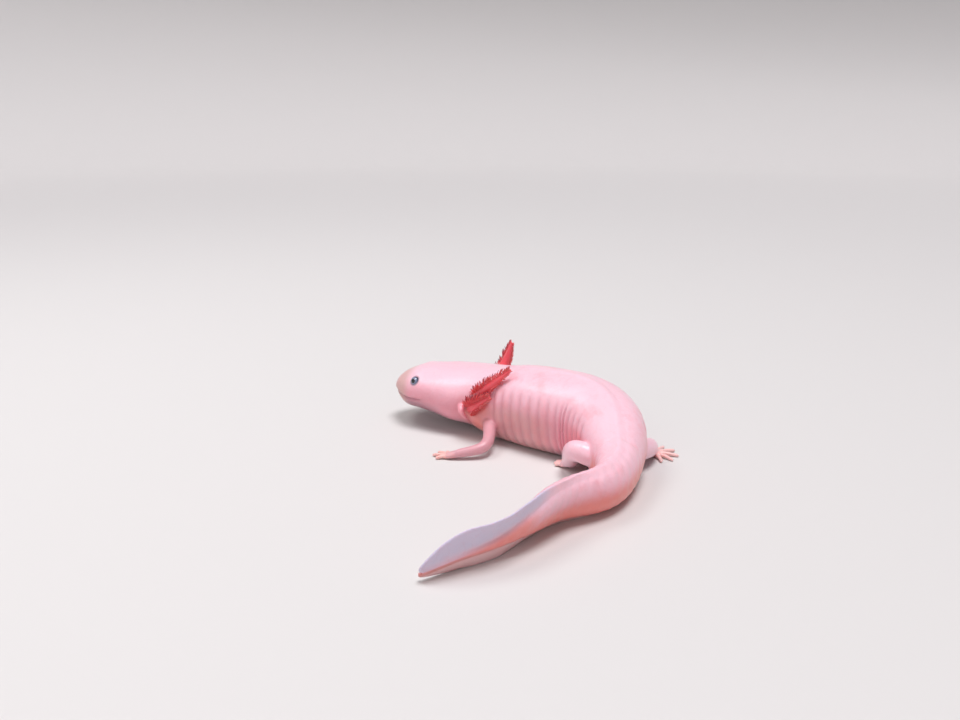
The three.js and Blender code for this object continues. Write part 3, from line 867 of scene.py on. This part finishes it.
def body_masks(web, at, share):
    """Where the colours of the body, fins and limbs lie, from 0 to about 1. Some are
    painted light and shade: the paler back and legs, and the darker belly, arms, head
    underside, snout and lower tail.
    """
    masks = {
        name: within(along, at.s) * within(height, at.high) * at.on_body
        for name, (along, height) in COLOUR_SPANS.items()
    }
    for name, (middle, reach, height) in COLOUR_PATCHES.items():
        masks[name] = bump(at.s - middle, reach) * step_up(*height, at.high) * at.on_body
    soft_fin = web.spread(share["fin"], 3 * WIDE)
    clear = soft_fin * step_up(*FIN_COLOUR, at.s)
    # painted shade on the lower side of the tail, and the muscle's own colour over the thin end
    muscle_and_shade = np.maximum(step_up(*SALMON["height"], at.high), step_up(*SALMON["whole"], at.s))
    masks["muscle_and_shade"] *= muscle_and_shade * (1 - clear)
    masks["seam"] *= bump(at.w + SEAM["down"] * at.below, SEAM["half_width"])
    masks["mottle"] *= MOTTLE * (1 - soft_fin)
    masks["back"] *= 1 - BACK_FADE["by"] * step_up(*BACK_FADE["span"], at.s)
    # the legs take the painted light of the back too
    masks["back"] += share["leg"]
    masks["clear_fin"] = clear * step_up(-FIN_SIDE, FIN_SIDE, at.w)
    masks["pale_fin"] = soft_fin * step_up(*PALE_FIN, at.s) * step_up(FIN_SIDE, -FIN_SIDE, at.w)
    # painted shade over the arms
    masks["arm"] = share["arm"]
    masks["digit"] = share["digit"]
    return masks


def build_skin(material):
    forms = source_forms()
    mesh = remeshed(mesh_of("sources", [form[0] for form in forms]))
    mesh.name = "skin"
    web = Web(mesh)
    points = web.even_out(read_vertices(mesh), FIRST_EVENING)
    owner, along = nearest_source(points, forms)
    kinds = np.array([form[1] for form in forms])[owner]
    digits = np.array([form[3] for form in forms])[owner]
    share = soft_shares(web, kinds, along, digits)
    gill_along = web.spread(np.where(kinds == "gill", along, 0), 4)
    points = fillet(web, points, share)
    write_vertices(mesh, points)
    normal = read_vertices(mesh, "normal")

    at = places_on_body(points, kinds, along, share)
    blunt = SNOUT_BLUNT["by"] * step_up(*SNOUT_BLUNT["span"], at.s) * at.flesh
    tail = frames(0.0)[3]
    points = points + tail * blunt[:, None]
    groove = costal_grooves(at) * at.flesh
    fold = throat_fold(at) * at.flesh
    mouth, lips, nostril, rim = face_marks(points, at)
    depth = broad_forms(at, share)
    depth += CHEVRONS["depth"] * tail_chevrons(at) * at.flesh
    depth += LIP_HEIGHT * lips + EYE_RIM["height"] * rim
    depth -= GROOVES["depth"] * groove + GULAR["depth"] * fold
    depth -= MOUTH_GROOVE["depth"] * mouth + NOSTRIL["depth"] * nostril
    points = points + normal * depth[:, None]
    points[:, 2] = np.maximum(points[:, 2], 0)
    write_vertices(mesh, points * MM)

    masks = body_masks(web, at, share)
    red_gill = step_up(*GILL_RED, gill_along)
    masks["gill_root"] = share["gill"] * (1 - red_gill)
    masks["gill"] = share["gill"] * red_gill
    masks["flap"] = share["flap"]
    masks["glow"] = near_gills(points) * (1 - share["flap"])
    # painted shade in the grooves, folds, mouth line and nostrils
    masks["crease_shade"] = np.clip(CREASE * (groove + fold) + mouth + nostril, 0, 1)
    masks["lid"] = np.clip(rim, 0, 1)
    for name, values in masks.items():
        write_attribute(mesh, name, values)
    skin = piece("skin", mesh, material)
    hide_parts(*[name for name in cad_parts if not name.endswith("_eye")])
    return skin


# ---------------------------------------------------------------- gill filaments and eyes

def filament_forms(side, gill):
    """Rows of short filaments swept back along one gill stalk, long on its upper edge.
    Gives their rings and how dark each ring is, most at the tips of the upper edge."""
    joints, outwards = gill_joints(side, gill)
    curve = centripetal(joints)
    radius_at = smooth([(i / 2, *pair) for i, pair in enumerate(gill_sizes(gill["radius"]))])
    _, _, back, tail = frames(float(gill["root"][0]))
    nudge = 0.01
    forms = []
    for row in range(FILAMENT["rows"]):
        fraction = row / (FILAMENT["rows"] - 1)
        in_row = FILAMENT["first"] + (FILAMENT["last"] - FILAMENT["first"]) * fraction
        arch = math.sin(math.pi * fraction ** FILAMENT["skew"])
        long = FILAMENT["length"] * (FILAMENT["least"] + FILAMENT["fuller"] * arch)
        leaning = FILAMENT["lean_at_root"] + (1 - FILAMENT["lean_at_root"]) * fraction
        sweep = FILAMENT["sweep"][0] + FILAMENT["sweep"][1] * fraction
        for hand, layer in itertools.product((-1, 1), FILAMENT["layers"]):
            t = in_row + rng.uniform(-0.5, 0.5) / FILAMENT["rows"]     # half a row either way
            t = min(max(t, FILAMENT["within"][0]), FILAMENT["within"][1])
            tangent = unit(curve(t + nudge) - curve(t - nudge))[0]
            across = unit(np.cross(tangent, outwards)) * hand
            stalk = radius_at(t)[0]
            upper = step_up(*FILAMENT["edge"], across @ (back - FILAMENT["upwards"] * tail))
            length = long * rng.uniform(*FILAMENT["uneven"]) * gill.get("fringe", 1)
            length *= FILAMENT["under"] + (1 - FILAMENT["under"]) * upper
            lean = tangent * rng.uniform(*FILAMENT["lean"]) * leaning
            jitter = rng.uniform(-FILAMENT["layer_jitter"], FILAMENT["layer_jitter"])
            way = unit(across + outwards * (layer + jitter) + lean)
            swept = unit(way + tangent * sweep)
            start = curve(t)[0]
            root = start + way * stalk * FILAMENT["sunk"]
            knee = start + way * (stalk + length * FILAMENT["knee"])
            tip = knee + swept * length * (1 - FILAMENT["knee"])
            rings, along = stalk_rings(
                [root, knee, tip], FILAMENT_SIZES, *FILAMENT_RINGS, FILAMENT_ROUND)
            at_edge = upper * (1 - layer)
            forms.append((rings, along * (FILAMENT["dark"] + (1 - FILAMENT["dark"]) * at_edge)))
    return forms


def build_filaments(name, side, gill, material):
    forms = filament_forms(side, gill)
    mesh = mesh_of(name, [rings for rings, _ in forms])
    shade = [np.repeat(dark, rings.shape[1]) for rings, dark in forms]
    write_attribute(mesh, "dark", np.concatenate(shade))
    write_vertices(mesh, read_vertices(mesh) * MM)
    return piece(name, mesh, material)


def build_eye(name, hand, node, material):
    """Round eyeball with a low cornea; its axis looks out of the side of the head."""
    _, right, back, tail = frames(EYE["s"])
    axis = unit(right * hand + back * EYE["looks_up"] - tail * EYE["looks_ahead"])
    across = unit(np.cross(back, axis))
    upwards = np.cross(axis, across)
    polar = np.radians(EYE_POLAR)
    turn = np.linspace(0, 2 * np.pi, EYE_AROUND, endpoint=False)
    cornea = CORNEA["bulge"] * bump(polar, math.radians(CORNEA["half_angle"]))
    radius = EYE["radius"] * (1 + cornea)
    out = np.cos(polar) * radius
    ring = (np.sin(polar) * radius)[:, None]
    middle = place(EYE["s"], hand * EYE["side"], EYE["up"])
    rings = (middle + axis * out[:, None, None] + across * (ring * np.cos(turn))[..., None]
             + upwards * (ring * np.sin(turn))[..., None])
    mesh = mesh_of(name, [rings[::-1]])
    write_attribute(mesh, "polar", np.repeat(np.degrees(polar[::-1]), len(turn)))
    write_vertices(mesh, read_vertices(mesh) * MM)
    eye = piece(name, mesh, material)
    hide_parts(node)


# ---------------------------------------------------------------- materials

def add_node(tree, kind, settings=None, inputs=None):
    """Adds a node. An input is a value, or another node's output socket."""
    node = tree.nodes.new(kind)
    for name, value in (settings or {}).items():
        setattr(node, name, value)
    for name, value in (inputs or {}).items():
        if isinstance(value, bpy.types.NodeSocket):
            tree.links.new(value, node.inputs[name])
        else:
            node.inputs[name].default_value = value
    return node


def new_material(name):
    material = bpy.data.materials.new(name)
    material.use_nodes = True
    material.node_tree.nodes.clear()
    return material, material.node_tree


BLOTCH_MM = 8                  # patches of more and less blood under the skin
VEIN_MM = 6                    # mesh of fine vessels; real ones are half as far apart
GRAIN_MM = 0.9                 # gland pores; real ones are a third of this, too fine to show
GRAIN_DEPTH_MM = 0.2
FOLD_MM = 3.2                  # faint slackness of the skin
FOLD_DEPTH_MM = 0.6
SKIN_LIGHT_MM = 1.8            # how deep light goes into the skin
GILL_LIGHT_MM = 1.2            # and into the thin walls of the gills
GILL_PATCH_MM = 2.5            # paler and redder patches of the gills
FLECK_MM = 0.5                 # pale flecks of the iris


def skin_material():
    """Living amphibian skin: scaleless, thin and without dark pigment, so the blood under
    it shows pink. It is grown, not made, with a film of slime over fine gland pores, which
    gives broad soft highlights and a little light from within. Its colour adds painted
    light and shade: paler upper sides and legs; a darker belly, arms, head underside and
    grooves; painted shade over the snout's own yellowish tone and low on the tail."""
    material, tree = new_material("moist_skin")
    place_on = add_node(tree, "ShaderNodeTexCoord").outputs["Object"]
    blotches = add_node(tree, "ShaderNodeTexNoise", None, {
        "Vector": place_on, "Scale": 1 / (BLOTCH_MM * MM), "Detail": 4, "Roughness": 0.6})
    fray = add_node(tree, "ShaderNodeMath", {"operation": "SUBTRACT"}, {
        0: blotches.outputs["Fac"], 1: 0.5})

    colour = linear("flank")
    for mask, start, whole, amount, frayed, name in SKIN_LAYERS:
        painted = add_node(tree, "ShaderNodeAttribute", {"attribute_name": mask})
        edge = add_node(tree, "ShaderNodeMath", {"operation": "MULTIPLY_ADD"}, {
            0: fray.outputs["Value"], 1: frayed, 2: painted.outputs["Fac"]})
        cover = add_node(tree, "ShaderNodeMapRange", {"interpolation_type": "SMOOTHSTEP"}, {
            "Value": edge.outputs["Value"], "From Min": start, "From Max": whole,
            "To Max": amount})
        layer = add_node(tree, "ShaderNodeMix", {"data_type": "RGBA"}, {
            "Factor": cover.outputs["Result"], "A": colour, "B": linear(name)})
        colour = layer.outputs["Result"]

    threads = add_node(tree, "ShaderNodeTexNoise", None, {
        "Vector": place_on, "Scale": 1 / (VEIN_MM * MM), "Detail": 3, "Roughness": 0.55,
        "Distortion": 0.6})
    middle = add_node(tree, "ShaderNodeMath", {"operation": "SUBTRACT"}, {
        0: threads.outputs["Fac"], 1: 0.5})
    off_thread = add_node(tree, "ShaderNodeMath", {"operation": "ABSOLUTE"}, {
        0: middle.outputs["Value"]})
    vessel = add_node(tree, "ShaderNodeMapRange", {"interpolation_type": "SMOOTHSTEP"}, {
        "Value": off_thread.outputs["Value"], "From Min": 0.03, "From Max": 0.0, "To Max": 0.06})
    veined = add_node(tree, "ShaderNodeMix", {"data_type": "RGBA"}, {
        "Factor": vessel.outputs["Result"], "A": colour, "B": linear("vein")})

    pores = add_node(tree, "ShaderNodeTexNoise", None, {
        "Vector": place_on, "Scale": 1 / (GRAIN_MM * MM), "Detail": 3, "Roughness": 0.6})
    slack = add_node(tree, "ShaderNodeTexNoise", None, {
        "Vector": place_on, "Scale": 1 / (FOLD_MM * MM), "Detail": 3})
    relief = add_node(tree, "ShaderNodeBump", None, {
        "Strength": 0.3, "Distance": GRAIN_DEPTH_MM * MM, "Height": pores.outputs["Fac"]})
    relief = add_node(tree, "ShaderNodeBump", None, {
        "Strength": 0.3, "Distance": FOLD_DEPTH_MM * MM, "Height": slack.outputs["Fac"],
        "Normal": relief.outputs["Normal"]})
    slime = add_node(tree, "ShaderNodeMapRange", None, {
        "Value": pores.outputs["Fac"], "From Min": 0.3, "From Max": 0.7,
        "To Min": 0.3, "To Max": 0.44})
    shader = add_node(tree, "ShaderNodeBsdfPrincipled", None, {
        "Base Color": veined.outputs["Result"], "Roughness": slime.outputs["Result"], "IOR": 1.4,
        "Subsurface Weight": 0.25, "Subsurface Radius": (1.0, 0.4, 0.35),
        "Subsurface Scale": SKIN_LIGHT_MM * MM, "Coat Weight": 0.55, "Coat Roughness": 0.34,
        "Normal": relief.outputs["Normal"]})
    add_node(tree, "ShaderNodeOutputMaterial", None, {"Surface": shader.outputs["BSDF"]})
    return material


def filament_material():
    """Gill filaments: bare wet tissue full of blood. Thin walls let its red through, and
    the tips of the upper rows are dark purple."""
    material, tree = new_material("gill_tissue")
    place_on = add_node(tree, "ShaderNodeTexCoord").outputs["Object"]
    patches = add_node(tree, "ShaderNodeTexNoise", None, {
        "Vector": place_on, "Scale": 1 / (GILL_PATCH_MM * MM)})
    paler = add_node(tree, "ShaderNodeMapRange", None, {
        "Value": patches.outputs["Fac"], "From Min": 0.35, "From Max": 0.7, "To Max": 0.6})
    red = add_node(tree, "ShaderNodeMix", {"data_type": "RGBA"}, {
        "Factor": paler.outputs["Result"], "A": linear("gill"), "B": linear("gill_root")})
    dark = add_node(tree, "ShaderNodeAttribute", {"attribute_name": "dark"})
    tips = add_node(tree, "ShaderNodeMapRange", {"interpolation_type": "SMOOTHSTEP"}, {
        "Value": dark.outputs["Fac"], "From Min": 0.35, "From Max": 0.9, "To Max": 0.85})
    colour = add_node(tree, "ShaderNodeMix", {"data_type": "RGBA"}, {
        "Factor": tips.outputs["Result"], "A": red.outputs["Result"], "B": linear("gill_tip")})
    shader = add_node(tree, "ShaderNodeBsdfPrincipled", None, {
        "Base Color": colour.outputs["Result"], "Roughness": 0.5, "IOR": 1.4,
        "Subsurface Weight": 0.3, "Subsurface Radius": (1.0, 0.25, 0.2),
        "Subsurface Scale": GILL_LIGHT_MM * MM, "Coat Weight": 0.15})
    add_node(tree, "ShaderNodeOutputMaterial", None, {"Surface": shader.outputs["BSDF"]})
    return material


# Colours of the eye over the slate iris, by the angle from its axis in degrees: where
# each starts, where it is whole.
EYE_LAYERS = [
    (31, 28, "iris_ring"),       # pale thread round the pupil
    (28, 26, "pupil"),
    (46, 62, "eye_rim"),
]


def eye_material():
    """Lidless wet eye: black pupil, slate iris with pale flecks, darker towards its rim,
    under a clear cornea that takes sharp highlights."""
    material, tree = new_material("wet_eye")
    place_on = add_node(tree, "ShaderNodeTexCoord").outputs["Object"]
    flecks = add_node(tree, "ShaderNodeTexNoise", None, {
        "Vector": place_on, "Scale": 1 / (FLECK_MM * MM), "Detail": 4, "Roughness": 0.7})
    cover = add_node(tree, "ShaderNodeMapRange", None, {
        "Value": flecks.outputs["Fac"], "From Min": 0.4, "From Max": 0.7, "To Max": 0.6})
    iris = add_node(tree, "ShaderNodeMix", {"data_type": "RGBA"}, {
        "Factor": cover.outputs["Result"], "A": linear("iris"), "B": linear("iris_ring")})
    colour = iris.outputs["Result"]
    polar = add_node(tree, "ShaderNodeAttribute", {"attribute_name": "polar"})
    for start, whole, name in EYE_LAYERS:
        ring = add_node(tree, "ShaderNodeMapRange", {"interpolation_type": "SMOOTHSTEP"}, {
            "Value": polar.outputs["Fac"], "From Min": start, "From Max": whole})
        layer = add_node(tree, "ShaderNodeMix", {"data_type": "RGBA"}, {
            "Factor": ring.outputs["Result"], "A": colour, "B": linear(name)})
        colour = layer.outputs["Result"]
    shader = add_node(tree, "ShaderNodeBsdfPrincipled", None, {
        "Base Color": colour, "Roughness": 0.25, "IOR": 1.38, "Coat Weight": 1.0,
        "Coat Roughness": 0.04})
    add_node(tree, "ShaderNodeOutputMaterial", None, {"Surface": shader.outputs["BSDF"]})
    return material


def floor_material():
    """Matt painted board: even and pale, with no gloss."""
    material, tree = new_material("painted_board")
    shader = add_node(tree, "ShaderNodeBsdfPrincipled", None, {
        "Base Color": linear("floor"), "Roughness": 0.75})
    add_node(tree, "ShaderNodeOutputMaterial", None, {"Surface": shader.outputs["BSDF"]})
    return material


# ---------------------------------------------------------------- the animal

build_skin(skin_material())
gill_flesh = filament_material()
for gill_name, side, gill in all_gills():
    if not gill.get("bare"):
        build_filaments(f"gill_filaments_{gill_name}", side, gill, gill_flesh)
wet_eye = eye_material()
build_eye("eye_left", -1, "left_eye", wet_eye)
build_eye("eye_right", 1, "right_eye", wet_eye)

# ---------------------------------------------------------------- stage, light and camera

# The floor is a round board that turns up into a low wall.
SWEEP_FLAT = 2.0
SWEEP_BEND = 0.8
SWEEP_WALL = 1.6
SWEEP_AROUND = 96
SWEEP_UNDER_MM = 0.05          # the gap under the animal, so that the two don't flicker


def build_sweep(material):
    bend = np.radians(np.linspace(0, 90, 17))
    edge = SWEEP_FLAT + SWEEP_BEND
    out = np.concatenate([[SWEEP_FLAT / 2], SWEEP_FLAT + SWEEP_BEND * np.sin(bend), [edge]])
    rise = np.concatenate([[0], SWEEP_BEND * (1 - np.cos(bend)), [SWEEP_WALL]])
    rise -= SWEEP_UNDER_MM * MM
    turn = np.linspace(0, 2 * np.pi, SWEEP_AROUND, endpoint=False)
    rings = np.stack([out[:, None] * np.cos(turn), out[:, None] * np.sin(turn),
                      np.repeat(rise[:, None], SWEEP_AROUND, 1)], -1)
    mesh = bpy.data.meshes.new("floor")
    open_topped = tube_faces(len(out), SWEEP_AROUND, 0)[:-1]
    mesh.from_pydata(rings.reshape(-1, 3).tolist(), [], open_topped)

    mesh.materials.append(material)
    mesh.shade_smooth()
    ob = bpy.data.objects.new("floor", mesh)
    bpy.context.scene.collection.objects.link(ob)


def add_light(name, kind, place_m, target_m, settings):
    light = bpy.data.lights.new(name, kind)
    for setting, value in settings.items():
        setattr(light, setting, value)
    ob = bpy.data.objects.new(name, light)
    bpy.context.scene.collection.objects.link(ob)
    ob.location = place_m
    ob.rotation_euler = (Vector(target_m) - Vector(place_m)).to_track_quat("-Z", "Y").to_euler()
    ob.visible_camera = False


build_sweep(floor_material())
MIDDLE = (-0.01, -0.02, 0.015)
add_light("top_light", "SUN", (0.12, -0.12, 1.0), MIDDLE, {
    "energy": 2.25, "angle": math.radians(26), "color": (1.0, 0.975, 1.0)})
add_light("left_softbox", "AREA", (-0.45, 0.03, 0.85), MIDDLE, {
    "shape": "DISK", "size": 0.4, "energy": 2.3})
add_light("front_softbox", "AREA", (-0.7, -1.3, 0.9), MIDDLE, {
    "shape": "DISK", "size": 1.2, "energy": 4, "color": (1.0, 0.96, 0.95)})

ROOM_LIGHT = (0.93, 0.91, 1.0, 1)
ROOM_LIGHT_STRENGTH = 0.24
world = bpy.data.worlds.new("studio")
bpy.context.scene.world = world
world.use_nodes = True
background = world.node_tree.nodes["Background"]
background.inputs["Color"].default_value = ROOM_LIGHT
background.inputs["Strength"].default_value = ROOM_LIGHT_STRENGTH
bpy.context.scene.view_settings.view_transform = "Standard"

CAMERA_PLACE = (-0.03669, -0.34360, 0.13786)
CAMERA_DOWN = 16.057           # degrees below the horizon, looking along +Y
FRAME_PIXELS = 960
FOCAL_PIXELS = 850
SENSOR_MM = 36
camera = bpy.data.objects.new("camera", bpy.data.cameras.new("camera"))
bpy.context.scene.collection.objects.link(camera)
camera.location = CAMERA_PLACE
camera.rotation_euler = (math.radians(90 - CAMERA_DOWN), 0, 0)
camera.data.sensor_width = SENSOR_MM
camera.data.lens = SENSOR_MM * FOCAL_PIXELS / FRAME_PIXELS
camera.data.clip_start = 0.01
bpy.context.scene.camera = camera
